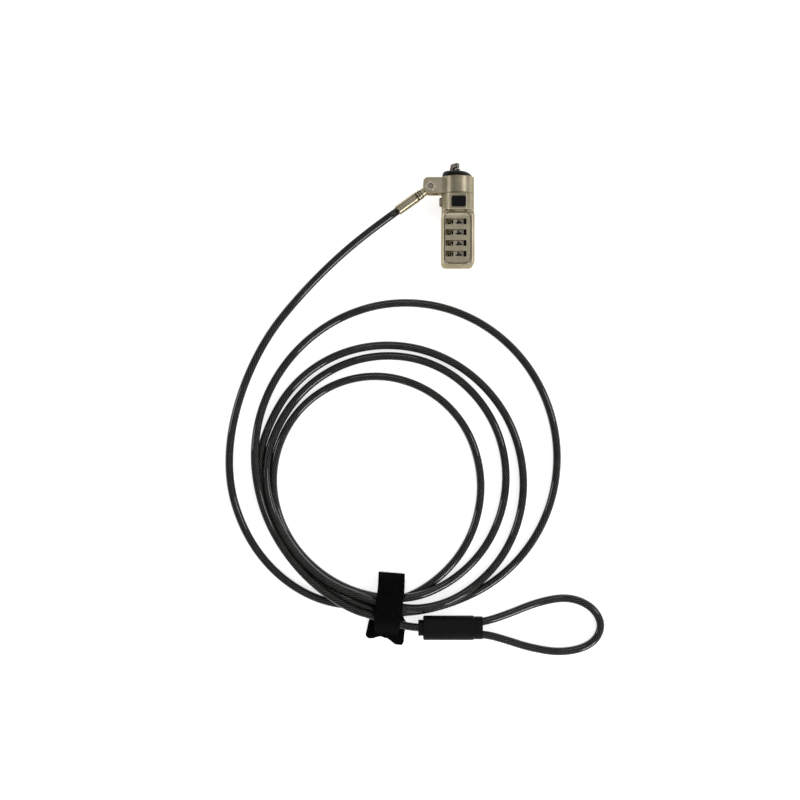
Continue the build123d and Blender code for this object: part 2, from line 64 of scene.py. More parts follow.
# Route of the cable, in millimetres.  The lead runs from the ferrule round to the coil.
LEAD = [
    (-29.57, 14.0, 8.5), (-43.0, 4.42, 8.5), (-60.5, -9.6, 4.6), (-78.5, -27.5, 2.4),
    (-94.8, -47.5, 2.0), (-107.0, -72.5, 2.0), (-113.6, -98.5, 2.0), (-113.6, -122.0, 2.0),
]
COIL_CENTRE = (-36.0, -122.9)
COIL_STEP = 15                # degrees between the points of a turn
COIL_START = 300              # each turn starts just past the strap
# Last part of the lead, and then each turn: radius at every step.
ARRIVAL = [73.3, 70.4, 67.6, 64.7, 61.0, 57.4, 55.2]
TURNS = [
    [52.4, 50.4, 48.9, 47.9, 47.7, 48.0, 49.1, 50.4, 51.9, 53.4, 55.0, 56.2,
     57.0, 57.3, 57.0, 56.4, 55.6, 54.6, 53.8, 53.3, 53.4, 53.9, 54.7, 56.1],
    [56.7, 57.3, 58.1, 58.9, 60.1, 61.4, 62.8, 64.0, 65.2, 65.7, 65.4, 64.7,
     63.6, 62.3, 61.1, 60.4, 58.6, 56.4, 54.7, 54.4, 54.6, 54.8, 57.5, 62.2],
    [64.9, 66.5, 67.8, 68.5, 69.0, 69.4, 70.0, 70.3, 70.7, 70.9, 70.7, 70.2,
     69.2, 67.6, 65.4, 64.4, 61.0, 59.0, 57.9, 57.4, 57.6, 58.7, 62.0, 63.7],
    [66.2, 70.5, 75.2, 80.0, 84.5, 88.5, 91.7, 93.9, 94.7, 93.9, 91.3, 87.1,
     82.0, 76.8, 71.7, 66.8, 62.8, 60.1, 58.5, 58.4, 59.6, 62.1],
]
# Height of the centreline where a turn lies on another one: {angle: height}.
CLIMBS = [
    {270: 3.4, 285: 5.9},
    {300: 3.4, 165: 2.6, 180: 4.7, 195: 5.6, 210: 5.9, 225: 5.9, 240: 5.9, 255: 5.9,
     270: 6.0, 285: 5.7},
    {300: 5.7, 315: 2.8, 240: 2.6, 255: 5.2, 270: 2.5},
    {150: 3.2, 165: 5.6, 180: 5.7, 195: 5.9, 210: 5.9, 225: 5.9, 240: 6.0, 255: 6.2},
]
STRAP_LIFT = {255: 0.5, 270: 1.1, 285: 0.6}   # the strap's lower run is under the cable here
TAIL = [(-42.0, -186.3, 6.4), (-35.0, -189.2, 5.4), (-27.0, -191.5, 4.5),
        (-19.4, -192.7, 4.1), (-12.0, -192.4, 4.1), (0.0, -190.9, 4.1)]
END_LOOP = [
    (12.5, -189.9, 4.1), (24.0, -186.6, 3.0), (40.0, -180.2, 2.0), (55.5, -177.4, 2.0),
    (67.8, -182.6, 2.0), (72.8, -192.3, 2.0), (67.0, -202.0, 2.0), (52.0, -205.6, 2.0),
    (36.0, -202.9, 2.0), (24.0, -198.8, 3.0), (12.5, -195.5, 4.1), (-2.0, -195.3, 4.1),
]

# Strap, from the front end over the turns, round the fold and back below them.
# y, height, left edge, right edge.
STRAP = [
    (-195.8, 2.2, -40.6, -29.6), (-194.0, 3.6, -41.0, -29.3), (-191.5, 6.8, -41.2, -28.7),
    (-188.0, 9.4, -41.2, -28.2), (-183.5, 10.3, -41.0, -27.4), (-178.5, 10.4, -40.4, -27.0),
    (-174.0, 9.9, -39.7, -26.4), (-170.0, 8.3, -39.3, -26.2), (-167.0, 6.0, -39.0, -26.1),
    (-165.4, 3.6, -39.0, -26.1), (-166.2, 1.2, -39.2, -26.2), (-169.5, 0.6, -39.4, -26.4),
    (-176.0, 0.55, -39.8, -26.8), (-184.0, 0.55, -41.5, -27.0), (-187.5, 0.55, -43.2, -26.5),
    (-190.0, 0.6, -44.2, -25.2), (-194.0, 0.7, -45.0, -26.2), (-197.6, 0.8, -45.7, -26.6),
]
STRAP_THICK = 0.9
STRAP_SKEW = -1.0             # how much further back the fold's right corner is
# Lower edge of the wide end: share of the width, then distance past the last station.
STRAP_TAIL_EDGE = [(0.0, 0.9), (0.03, -0.3), (0.09, -0.9), (0.16, -0.9), (0.39, 0.1),
                   (0.52, -0.7), (0.82, -4.0), (0.93, -4.2), (0.98, -3.7), (1.0, -2.4)]
FIBRE_LOWEST = 1.3            # the pile starts this high over the floor

# Base colours.
NICKEL_DARK = (0.44, 0.385, 0.27)
NICKEL_LIGHT = (0.59, 0.525, 0.38)
NICKEL_BRIGHT = (0.80, 0.73, 0.58)
EDGE_TINT = (0.40, 0.36, 0.28)    # metal's colour at a grazing angle

# Grain of a finish: cells to the metre along each axis.
BRUSHED = (2500, 300, 2500)
CAST = (300, 300, 300)
FINE = (900, 900, 900)
TURNED = (1500, 1500, 1500)

# Metals: dark and light colour, roughness, grain, metallic.
METALS = {
    "satin_nickel": (NICKEL_DARK, NICKEL_LIGHT, 0.45, BRUSHED, 1.0),
    "steel": ((0.34, 0.31, 0.26), (0.52, 0.48, 0.41), 0.24, TURNED, 1.0),
    "spring_steel": ((0.30, 0.30, 0.30), (0.45, 0.45, 0.45), 0.30, FINE, 1.0),
    "brass": ((0.50, 0.36, 0.14), (0.66, 0.50, 0.22), 0.30, (1500, 300, 1500), 1.0),
    "dial_metal": ((0.62, 0.57, 0.46), (0.80, 0.75, 0.63), 0.36, (2200, 500, 2200), 0.5),
    "crimp_aluminium": ((0.6, 0.6, 0.6), (0.75, 0.75, 0.75), 0.35, (300, 1800, 1800), 1.0),
    "t_bar_steel": ((0.11, 0.10, 0.085), (0.24, 0.22, 0.19), 0.2, TURNED, 1.0),
    "pin_steel": ((0.10, 0.09, 0.075), (0.2, 0.18, 0.155), 0.25, TURNED, 1.0),
    "collar_metal": (NICKEL_DARK, NICKEL_LIGHT, 0.38, BRUSHED, 1.0),
    "housing_metal": (NICKEL_DARK, NICKEL_LIGHT, 0.40, BRUSHED, 1.0),
    "plate_metal": (NICKEL_DARK, NICKEL_LIGHT, 0.42, BRUSHED, 1.0),
    "eye_metal": (NICKEL_DARK, NICKEL_LIGHT, 0.26, CAST, 1.0),
    "ferrule_metal": (NICKEL_DARK, NICKEL_LIGHT, 0.18, CAST, 1.0),
    "rivet_metal": (NICKEL_LIGHT, NICKEL_BRIGHT, 0.22, FINE, 1.0),
}
# Plastics: shade, roughness, grain, height of the grain in metres.
PLASTICS = {
    "black_plastic": (0.005, 0.36, (2600, 2600, 2600), 0.00002),
    "sleeve_plastic": (0.0045, 0.48, (160, 1500, 1500), 0.00004),
}

# Tone changes on a metal, most of them painted shade: distances in millimetres where the tone
# changes, and the tones.
TONE_BLEND = 0.06             # half the width of a change
COLLAR_R = 8.0
BLOCK_TOP_Y = 14.2            # upper end of the squared body
PAINTED_SHADE_TONE = 0.72            # painted shade: the round collar and the barrel above the block are darker than the lug and the block
# Painted shade in the grooves between the eye's ribs.
GROOVE_SHADE_TONE = 0.12
EYE_GROOVES = ((5.3, 5.9), (6.5, 7.1), (7.7, 8.3))   # from the rivet
# Painted shade at both ends of the ferrule, where it meets the eye and where the cable goes in.
FERRULE_EDGES = (8.5, 9.0, 19.3)                     # from the rivet
FERRULE_SHADE_TONES = (0.25, 0.7, 1.0, 0.5)
# Painted shade in the rivet's hollow, darkest in a ring just inside the rim.
RIVET_EDGES = (0.85, 1.25)                           # from the rivet's axis
RIVET_SHADE_TONES = (0.6, 0.3, 1.0)
PLATE_MIDDLE = (-0.4, -0.3)
PLATE_HALF = (6.6, 12.6)
PLATE_CORNER = 3.2
PLATE_SHADOW_WIDTH = 0.4              # width of the painted shadow line round the plate
PLATE_SHADOW_TONE = 0.3

# Wires under the cable's jacket: how many, metres to one turn, sharpness, share of the relief.
STRANDS = (11.0, 0.026, 3.5, 0.62)
FINE_WIRES = (38.0, 0.016, 1.0, 0.38)
JACKET_TONES = [(0.10, (0.0005, 0.0005, 0.0004)), (0.45, (0.002, 0.002, 0.0017)),
                (0.75, (0.018, 0.018, 0.016)), (1.0, (0.12, 0.12, 0.11))]

SPRING_AT = (0.15, 17.55, 11.9)   # foot of the button's spring
SPRING_R = 1.3                # to the middle of the wire
SPRING_WIRE = 0.3
SPRING_TURNS = 3
SPRING_STEPS = 24             # points to a turn
SPRING_CLOSED = 0.75          # share of a turn that lies flat at each end
SPRING_HEIGHT = 3.1

WHEEL_FIRST_Y = 7.55
WHEEL_PITCH = 5.25
WHEEL_COUNT = 4
WHEEL_FACETS = 10
FACET_DISTANCE = 6.755        # from the wheel's axis
TOP_DIGIT = 4                 # digit on the facet that faces up
DIGIT_POINTS = 48             # points round each outline

# Stage, in metres.
FLOOR_HALF = 20.0
FLOOR_DROP = 0.0003
ROOM_SIDES = (0.35, 1.15)     # brightness of the room's left and right
STAGE_MIDDLE = (-0.03, -0.08, 0.0)
# Side lights: place, size, share of their power.
SIDE_LIGHTS = {
    "left": ((-1.0, 0.1, 0.45), (0.2, 0.35), 0.45),
    "right": ((0.85, 0.15, 0.85), (0.2, 0.35), 0.6),
    "back": ((-0.05, 0.75, 1.05), (0.5, 0.15), 0.4),
}
FRONT_LIGHT = ((0.5, -0.85, 0.6), (0.3, 0.3))
CAMERA_AT = (-0.0285, -0.0795, 0.69)
CAMERA_LENS = 62.1
CAMERA_SENSOR = 36.0


# ---- node trees --------------------------------------------------------------------------
def new_material(name):
    """An empty material; returns it with its node tree and its Principled shader."""
    material = bpy.data.materials.new(name)
    material.use_nodes = True
    tree = material.node_tree
    return material, tree, tree.nodes["Principled BSDF"]


def add(tree, kind, **values):
    """A node; values are set on it as properties, or on the inputs of that name."""
    node = tree.nodes.new(kind)
    for key, value in values.items():
        name = key.replace("_", " ")
        if hasattr(node, key):
            setattr(node, key, value)
        else:
            node.inputs[name].default_value = value
    return node


def calculate(tree, kind, operation, *values):
    """Result of a maths node that is fed with sockets and constants."""
    node = add(tree, kind, operation=operation)
    for place, value in zip(node.inputs, values):
        if isinstance(value, bpy.types.NodeSocket):
            tree.links.new(value, place)
        else:
            place.default_value = value
    return next(socket for socket in node.outputs if socket.enabled)


def number(tree, operation, *values):
    """A number worked out from others."""
    return calculate(tree, "ShaderNodeMath", operation, *values)


def vector(tree, operation, *values):
    """A vector, or its length or a product, worked out from others."""
    return calculate(tree, "ShaderNodeVectorMath", operation, *values)


def object_place(tree):
    """Coordinates in the frame of the object, in metres."""
    return add(tree, "ShaderNodeTexCoord").outputs["Object"]


def stretched(tree, scale):
    """Object coordinates scaled along each axis."""
    mapping = add(tree, "ShaderNodeMapping", Scale=scale)
    tree.links.new(object_place(tree), mapping.inputs["Vector"])
    return mapping.outputs["Vector"]


def noise(tree, scale, detail=3.0):
    """Noise with that many cells to the metre along each axis."""
    node = add(tree, "ShaderNodeTexNoise", Scale=1.0, Detail=detail)
    tree.links.new(stretched(tree, scale), node.inputs["Vector"])
    return node.outputs["Fac"]


def spread(tree, value, low, high):
    """A number from 0 to 1 spread between two limits."""
    node = add(tree, "ShaderNodeMapRange")
    node.inputs["To Min"].default_value = low
    node.inputs["To Max"].default_value = high
    tree.links.new(value, node.inputs["Value"])
    return node.outputs["Result"]


def ramp(tree, value, stops):
    """Colours along a number: (position, grey or colour) stops."""
    node = add(tree, "ShaderNodeValToRGB")
    elements = node.color_ramp.elements
    while len(elements) < len(stops):
        elements.new(0.5)
    for element, (position, colour) in zip(elements, stops):
        element.position = position
        shade = (colour,) * 3 if isinstance(colour, float) else colour
        element.color = (*shade, 1.0)
    tree.links.new(value, node.inputs["Fac"])
    return node.outputs["Color"]


def bump(tree, shader, height, distance, strength):
    """Raise the surface by a height texture."""
    node = add(tree, "ShaderNodeBump", Strength=strength, Distance=distance)
    tree.links.new(height, node.inputs["Height"])
    tree.links.new(node.outputs["Normal"], shader.inputs["Normal"])


# ---- finishes ----------------------------------------------------------------------------
def metal(name):
    """One of the metals, with a fine grain and faint handling marks."""
    dark, light, roughness, grain, metallic = METALS[name]
    material, tree, shader = new_material(name)
    shader.inputs["Metallic"].default_value = metallic
    shader.inputs["Specular Tint"].default_value = (*EDGE_TINT, 1.0)
    along = noise(tree, grain, detail=4.0)
    cloud = noise(tree, (160, 160, 160), detail=5.0)
    tree.links.new(ramp(tree, cloud, [(0.3, dark), (0.7, light)]), shader.inputs["Base Color"])
    tree.links.new(spread(tree, along, roughness - 0.06, roughness + 0.08),
                   shader.inputs["Roughness"])
    bump(tree, shader, along, 0.00001, 0.5)
    return material


def distance_along(tree, start, direction):
    """Distance in millimetres from a point, along a direction in the XY plane."""
    from_start = vector(tree, "SUBTRACT", object_place(tree), (start[0] * MM, start[1] * MM, 0.0))
    return vector(tree, "DOT_PRODUCT", from_start, (direction[0] / MM, direction[1] / MM, 0.0))


def bands(tree, value, edges, tones):
    """A tone that changes in steps: tones[0] below edges[0], and so on."""
    span = edges[-1] + 1.0
    stops = [(0.0, tones[0])]
    for edge, before, after in zip(edges, tones, tones[1:]):
        stops += [((edge - TONE_BLEND) / span, before), ((edge + TONE_BLEND) / span, after)]
    return ramp(tree, number(tree, "DIVIDE", value, span), stops)


def darkened(material, by):
    """The material with its colour multiplied by a tone."""
    tree = material.node_tree
    base = tree.nodes["Principled BSDF"].inputs["Base Color"]
    mix = add(tree, "ShaderNodeMix", data_type="RGBA", blend_type="MULTIPLY")
    factor, colour, tone = (mix.inputs[index] for index in (0, 6, 7))
    factor.default_value = 1.0
    tree.links.new(base.links[0].from_socket, colour)
    tree.links.new(by, tone)
    tree.links.new(mix.outputs[2], base)
    return material


def toned_metal(name, start, direction, edges, tones):
    """A metal whose tone changes at those distances from a point, along a direction."""
    material = metal(name)
    along = distance_along(material.node_tree, start, direction)
    return darkened(material, bands(material.node_tree, along, edges, tones))


def eye_metal(start, direction):
    """The eye's nickel, with painted shade in the groove between each two ribs."""
    edges = [edge for groove in EYE_GROOVES for edge in groove]
    tones = [1.0] + [GROOVE_SHADE_TONE, 1.0] * len(EYE_GROOVES)
    return toned_metal("eye_metal", start, direction, edges, tones)


def plate_metal():
    """The front plate's nickel, with a painted shadow line round its rounded edge."""
    material = metal("plate_metal")
    tree = material.node_tree
    middle = (-PLATE_MIDDLE[0], -PLATE_MIDDLE[1], 0.0)
    straight = [half - PLATE_CORNER for half in PLATE_HALF]
    level = vector(tree, "MULTIPLY_ADD", object_place(tree), (1 / MM, 1 / MM, 0.0), middle)
    past = vector(tree, "SUBTRACT", vector(tree, "ABSOLUTE", level), (*straight, 0.0))
    away = vector(tree, "LENGTH", vector(tree, "MAXIMUM", past, (0.0, 0.0, 0.0)))
    # Painted shadow where the plate meets the housing.
    line = bands(tree, away, (PLATE_CORNER - PLATE_SHADOW_WIDTH,), (1.0, PLATE_SHADOW_TONE))
    return darkened(material, line)


def rivet_metal():
    """Bright rolled rim round a hollow with painted shade."""
    material = metal("rivet_metal")
    tree = material.node_tree
    flat = vector(tree, "SUBTRACT", object_place(tree), (RIVET[0] * MM, RIVET[1] * MM, 0.0))
    away = vector(tree, "LENGTH", vector(tree, "MULTIPLY", flat, (1 / MM, 1 / MM, 0.0)))
    return darkened(material, bands(tree, away, RIVET_EDGES, RIVET_SHADE_TONES))


def plastic(name):
    """One of the black moulded plastics, with a fine grain."""
    shade, roughness, grain, height = PLASTICS[name]
    material, tree, shader = new_material(name)
    fine = noise(tree, grain, detail=4.0)
    cloud = noise(tree, (90, 90, 90))
    tree.links.new(ramp(tree, cloud, [(0.3, shade * 0.75), (0.7, shade * 1.3)]),
                   shader.inputs["Base Color"])
    tree.links.new(spread(tree, fine, roughness - 0.05, roughness + 0.1),
                   shader.inputs["Roughness"])
    shader.inputs["Specular IOR Level"].default_value = 0.12
    bump(tree, shader, fine, height, 0.6)
    return material


def flat_black(name):
    """Matt black filling of the index marks and the digits."""
    material, tree, shader = new_material(name)
    cloud = noise(tree, (900, 900, 900))
    tree.links.new(ramp(tree, cloud, [(0.3, 0.002), (0.7, 0.006)]), shader.inputs["Base Color"])
    shader.inputs["Roughness"].default_value = 0.6
    shader.inputs["Specular IOR Level"].default_value = 0.05
    return material


def wires(tree, along, turn, count, lay, sharp, share):
    """Rounded crowns of wires that wind round the cable once in each lay length."""
    wound = number(tree, "ADD", turn, number(tree, "DIVIDE", along, lay))
    wave = number(tree, "SINE", number(tree, "MULTIPLY", wound, count * pi))
    crown = number(tree, "POWER", number(tree, "ABSOLUTE", wave), sharp)
    return number(tree, "MULTIPLY", crown, share)


def cable_jacket():
    """Glossy smoke vinyl over twisted wires.  The mesh's UV holds length and turn."""
    material, tree, shader = new_material("cable_jacket")
    uv = add(tree, "ShaderNodeUVMap", uv_map="route")
    parts = add(tree, "ShaderNodeSeparateXYZ")
    tree.links.new(uv.outputs["UV"], parts.inputs["Vector"])
    where = (parts.outputs["X"], parts.outputs["Y"])
    relief = number(tree, "ADD", wires(tree, *where, *STRANDS), wires(tree, *where, *FINE_WIRES))
    cloud = spread(tree, noise(tree, (220, 220, 220), detail=4.0), 0.75, 1.2)
    tone = ramp(tree, number(tree, "MULTIPLY", relief, cloud), JACKET_TONES)
    tree.links.new(tone, shader.inputs["Base Color"])
    shader.inputs["Roughness"].default_value = 0.4
    shader.inputs["Specular IOR Level"].default_value = 0.05
    shader.inputs["Coat Weight"].default_value = 1.0
    shader.inputs["Coat Roughness"].default_value = 0.05
    shader.inputs["Coat IOR"].default_value = 1.42
    bump(tree, shader, relief, 0.00010, 0.7)
    return material


def strap_fabric():
    """Black hook-and-loop webbing with a fine weave."""
    material, tree, shader = new_material("strap_fabric")
    weave = add(tree, "ShaderNodeTexVoronoi", Scale=1.0)
    tree.links.new(stretched(tree, (2600, 2600, 1500)), weave.inputs["Vector"])
    cloud = noise(tree, (700, 700, 700), detail=5.0)
    tree.links.new(ramp(tree, cloud, [(0.3, 0.001), (0.8, 0.004)]), shader.inputs["Base Color"])
    shader.inputs["Roughness"].default_value = 0.9
    shader.inputs["Specular IOR Level"].default_value = 0.05
    bump(tree, shader, weave.outputs["Distance"], 0.0001, 0.8)
    return material


def floor_finish():
    """Plain pale floor, which glows a little so that it keeps few shadows."""
    material, _, shader = new_material("floor")
    shader.inputs["Base Color"].default_value = (0.93, 0.93, 0.93, 1.0)
    shader.inputs["Roughness"].default_value = 0.8
    shader.inputs["Specular IOR Level"].default_value = 0.1
    shader.inputs["Emission Color"].default_value = (1.0, 1.0, 1.0, 1.0)
    shader.inputs["Emission Strength"].default_value = 0.7
    return material


def slot_finish(slot):
    """The finish of one of the CAD model's material slots."""
    if slot in METALS:
        return metal(slot)
    if slot in PLASTICS:
        return plastic(slot)
    return flat_black(slot)


# ---- pieces ------------------------------------------------------------------------------
def polar(angle, radius, height):
    """A point about the middle of the coil."""
    turn = radians(angle)
    return (COIL_CENTRE[0] + radius * cos(turn), COIL_CENTRE[1] + radius * sin(turn), height)


def cable_route():
    """Control points of the whole cable, from the ferrule to the end inside the sleeve."""
    corner = 1 / cos(radians(COIL_STEP / 2))
    points = list(LEAD)
    for index, radius in enumerate(ARRIVAL):
        angle = COIL_START - COIL_STEP * (len(ARRIVAL) - index)
        points.append(polar(angle, radius * corner, CABLE_D / 2 + STRAP_LIFT.get(angle, 0.0)))
    for radii, climbs in zip(TURNS, CLIMBS):
        for index, radius in enumerate(radii):
            angle = (COIL_START + COIL_STEP * index) % 360
            height = climbs.get(angle, CABLE_D / 2) + STRAP_LIFT.get(angle, 0.0)
            points.append(polar(angle, radius * corner, height))
    return points + TAIL + END_LOOP


def centreline(points):
    """Points along an open quadratic spline, in metres."""
    curve = bpy.data.curves.new("cable_route", "CURVE")
    curve.dimensions = "3D"
    spline = curve.splines.new("NURBS")
    spline.points.add(len(points) - 1)
    for place, point in zip(spline.points, points):
        place.co = (*(value * MM for value in point), 1.0)
    spline.order_u = 3
    spline.use_endpoint_u = True
    spline.resolution_u = 8
    holder = bpy.data.objects.new("cable_route", curve)
    bpy.context.scene.collection.objects.link(holder)
    shown = holder.evaluated_get(bpy.context.evaluated_depsgraph_get())
    mesh = bpy.data.meshes.new_from_object(shown)
    line = [vertex.co.copy() for vertex in mesh.vertices]
    bpy.data.objects.remove(holder)
    bpy.data.curves.remove(curve)
    bpy.data.meshes.remove(mesh)
    return line


def tube(name, line, radius, sides):
    """A closed tube along a line, with length and turn in its UV."""
    verts, faces, uvs = [], [], []
    side = Vector((0, 0, 1))
    length = 0.0
    lengths = []
    for index, here in enumerate(line):
        before, after = line[max(index - 1, 0)], line[min(index + 1, len(line) - 1)]
        heading = (after - before).normalized()
        side = (side - heading * side.dot(heading)).normalized()
        other = heading.cross(side)
        length += (here - before).length
        lengths.append(length)
        for step in range(sides):
            turn = 2 * pi * step / sides
            verts.append(here + radius * (cos(turn) * side + sin(turn) * other))
    for ring in range(len(line) - 1):
        for step in range(sides):
            following = (step + 1) % sides
            faces.append((ring * sides + step, ring * sides + following,
                          (ring + 1) * sides + following, (ring + 1) * sides + step))
            near, far = lengths[ring], lengths[ring + 1]
            low, high = step / sides, (step + 1) / sides
            uvs += [(near, low), (near, high), (far, high), (far, low)]
    last = (len(line) - 1) * sides
    faces.append(tuple(range(sides)))
    faces.append(tuple(last + step for step in reversed(range(sides))))
    uvs += [(0.0, 0.0)] * sides + [(lengths[-1], 0.0)] * sides
    mesh = bpy.data.meshes.new(name)
    mesh.from_pydata(verts, [], faces)
    layer = mesh.uv_layers.new(name="route")
    for loop, uv in zip(layer.data, uvs):
        loop.uv = uv
    mesh.shade_smooth()
    outward(mesh)
    return mesh, lengths[-1]


def outward(mesh):
    """Turn a closed mesh's faces outward."""
    work = bmesh.new()
    work.from_mesh(mesh)
    bmesh.ops.recalc_face_normals(work, faces=work.faces)
    work.to_mesh(mesh)
    work.free()


def show(name, mesh, material, body):
    """Put a mesh in the scene on a body, with its finish."""
    piece = bpy.data.objects.new(name, mesh)
    bpy.context.scene.collection.objects.link(piece)
    mesh.materials.clear()
    mesh.materials.append(material)
    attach(piece, body)
    return piece


def build_cable(settings):
    """The whole cable as one cord."""
    line = centreline(cable_route())
    mesh, length = tube("cable", line, CABLE_D / 2 * MM, settings.sides)
    piece = show("cable", mesh, cable_jacket(), "cable")
    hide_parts("cable_lead", "cable_coil", "cable_tail", "cable_end_loop")


def smooth_stations(stations, steps):
    """Catmull-Rom points through the strap's stations."""
    made = []
    for index in range(len(stations) - 1):
        around = [stations[min(max(index + offset, 0), len(stations) - 1)]
                  for offset in (-1, 0, 1, 2)]
        for step in range(steps):
            t = step / steps
            made.append(tuple(
                0.5 * (2 * b + (c - a) * t + (2 * a - 5 * b + 4 * c - d) * t ** 2
                       + (3 * b - a - 3 * c + d) * t ** 3)
                for a, b, c, d in zip(*around)))
    made.append(stations[-1])
    return made


def tail_edge(share):
    """How far the wide end's lower edge is past the last station, at a share of its width."""
    for (near, low), (far, high) in zip(STRAP_TAIL_EDGE, STRAP_TAIL_EDGE[1:]):
        if share <= far:
            part = (share - near) / (far - near)
            return low + (high - low) * part * part * (3 - 2 * part)
    return STRAP_TAIL_EDGE[-1][1]


def build_strap(settings):
    """Hook-and-loop strap: a band folded round the turns, with a wide notched end."""
    rows = smooth_stations(STRAP, settings.steps)
    across = settings.across
    verts, faces = [], []
    for index, (y, z, left, right) in enumerate(rows):
        from_end = (len(rows) - 1 - index) / (2 * settings.steps)
        end_share = max(0.0, 1 - from_end) ** 1.5
        for column in range(across + 1):
            share = column / across
            drop = end_share * tail_edge(share) + (1 - end_share) * STRAP_SKEW * share
            verts.append(Vector((left + (right - left) * share, y + drop, z)) * MM)
    for row in range(len(rows) - 1):
        for column in range(across):
            corner = row * (across + 1) + column
            faces.append((corner, corner + 1, corner + across + 2, corner + across + 1))
    mesh = bpy.data.meshes.new("strap")
    mesh.from_pydata(verts, [], faces)
    holder = bpy.data.objects.new("strap_sheet", mesh)
    bpy.context.scene.collection.objects.link(holder)
    thick = holder.modifiers.new("thick", "SOLIDIFY")
    thick.thickness = STRAP_THICK * MM
    thick.offset = 0.0
    thick.use_even_offset = True
    shown = holder.evaluated_get(bpy.context.evaluated_depsgraph_get())
    solid = bpy.data.meshes.new_from_object(shown)
    bpy.data.objects.remove(holder)
    outward(solid)
    solid.shade_smooth()
    piece = show("strap", solid, strap_fabric(), "cable")
    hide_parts("tie_strap")


def spring_line():
    """Points along the spring's wire, with its end turns lying flat, in metres."""
    points = []
    for step in range(SPRING_TURNS * SPRING_STEPS + 1):
        turns = step / SPRING_STEPS
        rise = (turns - SPRING_CLOSED) / (SPRING_TURNS - 2 * SPRING_CLOSED)
        height = SPRING_WIRE / 2 + (SPRING_HEIGHT - SPRING_WIRE) * min(max(rise, 0.0), 1.0)
        angle = 2 * pi * turns
        points.append(Vector((SPRING_AT[0] + SPRING_R * cos(angle),
                              SPRING_AT[1] + SPRING_R * sin(angle),
                              SPRING_AT[2] + height)) * MM)
    return points


def build_spring(settings):
    """The button's return spring, built at one length."""
    mesh, _ = tube("spring", spring_line(), SPRING_WIRE / 2 * MM, settings.sides)
    piece = show("spring", mesh, metal("spring_steel"), "lock")
    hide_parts("button_spring")
    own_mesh(piece)


def new_tree(name, inputs):
    """A Geometry Nodes tree with these inputs, as name and kind, and one for the finish."""
    tree = bpy.data.node_groups.new(name, "GeometryNodeTree")
    for socket, kind in {"Geometry": "Geometry", **inputs, "Finish": "Material"}.items():
        tree.interface.new_socket(socket, in_out="INPUT", socket_type=f"NodeSocket{kind}")
    tree.interface.new_socket("Geometry", in_out="OUTPUT", socket_type="NodeSocketGeometry")
    return tree, tree.nodes.new("NodeGroupInput")


def hook_form(tree, start):
    """One loop of the pile: a bent fibre of unit length, scaled and made round."""
    hook = add(tree, "GeometryNodeCurvePrimitiveBezierSegment", Resolution=5)
    hook.inputs["Start"].default_value = (0.0, 0.0, -0.1)
    hook.inputs["Start Handle"].default_value = (0.0, 0.0, 0.6)
    hook.inputs["End Handle"].default_value = (0.5, 0.0, 1.1)
    hook.inputs["End"].default_value = (0.7, 0.0, 0.4)
    section = add(tree, "GeometryNodeCurvePrimitiveCircle", Resolution=3)
    tree.links.new(start.outputs["Fibre radius"], section.inputs["Radius"])
    sized = tree.nodes.new("GeometryNodeTransform")
    tree.links.new(hook.outputs["Curve"], sized.inputs["Geometry"])
    tree.links.new(start.outputs["Fibre length"], sized.inputs["Scale"])
    thick = tree.nodes.new("GeometryNodeCurveToMesh")
    thick.inputs["Fill Caps"].default_value = True
    tree.links.new(sized.outputs["Geometry"], thick.inputs["Curve"])
    tree.links.new(section.outputs["Curve"], thick.inputs["Profile Curve"])
    return thick.outputs["Mesh"]


def fibre_tree():
    """Nodes that grow short curved fibres out of a surface."""
    tree, start = new_tree("strap_fibres", {
        "Surface": "Object", "Density": "Float", "Fibre length": "Float",
        "Fibre radius": "Float", "Lowest": "Float", "Seed": "Int",
    })
    surface = tree.nodes.new("GeometryNodeObjectInfo")
    scatter = tree.nodes.new("GeometryNodeDistributePointsOnFaces")
    tree.links.new(start.outputs["Surface"], surface.inputs["Object"])
    tree.links.new(surface.outputs["Geometry"], scatter.inputs["Mesh"])
    tree.links.new(start.outputs["Density"], scatter.inputs["Density"])
    tree.links.new(start.outputs["Seed"], scatter.inputs["Seed"])
    place = tree.nodes.new("GeometryNodeInputPosition")
    height = add(tree, "ShaderNodeSeparateXYZ")
    tree.links.new(place.outputs["Position"], height.inputs["Vector"])
    low = tree.nodes.new("FunctionNodeCompare")
    low.operation = "LESS_THAN"
    tree.links.new(height.outputs["Z"], low.inputs["A"])
    tree.links.new(start.outputs["Lowest"], low.inputs["B"])
    clear = tree.nodes.new("GeometryNodeDeleteGeometry")
    tree.links.new(scatter.outputs["Points"], clear.inputs["Geometry"])
    tree.links.new(low.outputs["Result"], clear.inputs["Selection"])
    spin = tree.nodes.new("FunctionNodeRandomValue")
    spin.inputs["Max"].default_value = 2 * pi
    tree.links.new(start.outputs["Seed"], spin.inputs["Seed"])
    about = add(tree, "ShaderNodeCombineXYZ")
    tree.links.new(spin.outputs["Value"], about.inputs["Z"])
    turned = tree.nodes.new("FunctionNodeRotateRotation")
    turned.rotation_space = "LOCAL"
    tree.links.new(scatter.outputs["Rotation"], turned.inputs["Rotation"])
    tree.links.new(about.outputs["Vector"], turned.inputs["Rotate By"])
    put = tree.nodes.new("GeometryNodeInstanceOnPoints")
    tree.links.new(clear.outputs["Geometry"], put.inputs["Points"])
    tree.links.new(hook_form(tree, start), put.inputs["Instance"])
    tree.links.new(turned.outputs["Rotation"], put.inputs["Rotation"])
    finish_realize(tree, start, put.outputs["Instances"])
    return tree


def build_fibres(settings):
    """Loose loops of the strap's pile."""
    grown("strap_fibres", fibre_tree(), {
        "Surface": bpy.data.objects["strap"],
        "Density": settings.density,
        "Fibre length": settings.length,
        "Fibre radius": settings.radius,
        "Lowest": FIBRE_LOWEST * MM,
        "Seed": settings.seed,
        "Finish": bpy.data.materials["strap_fabric"],
    }, "cable")


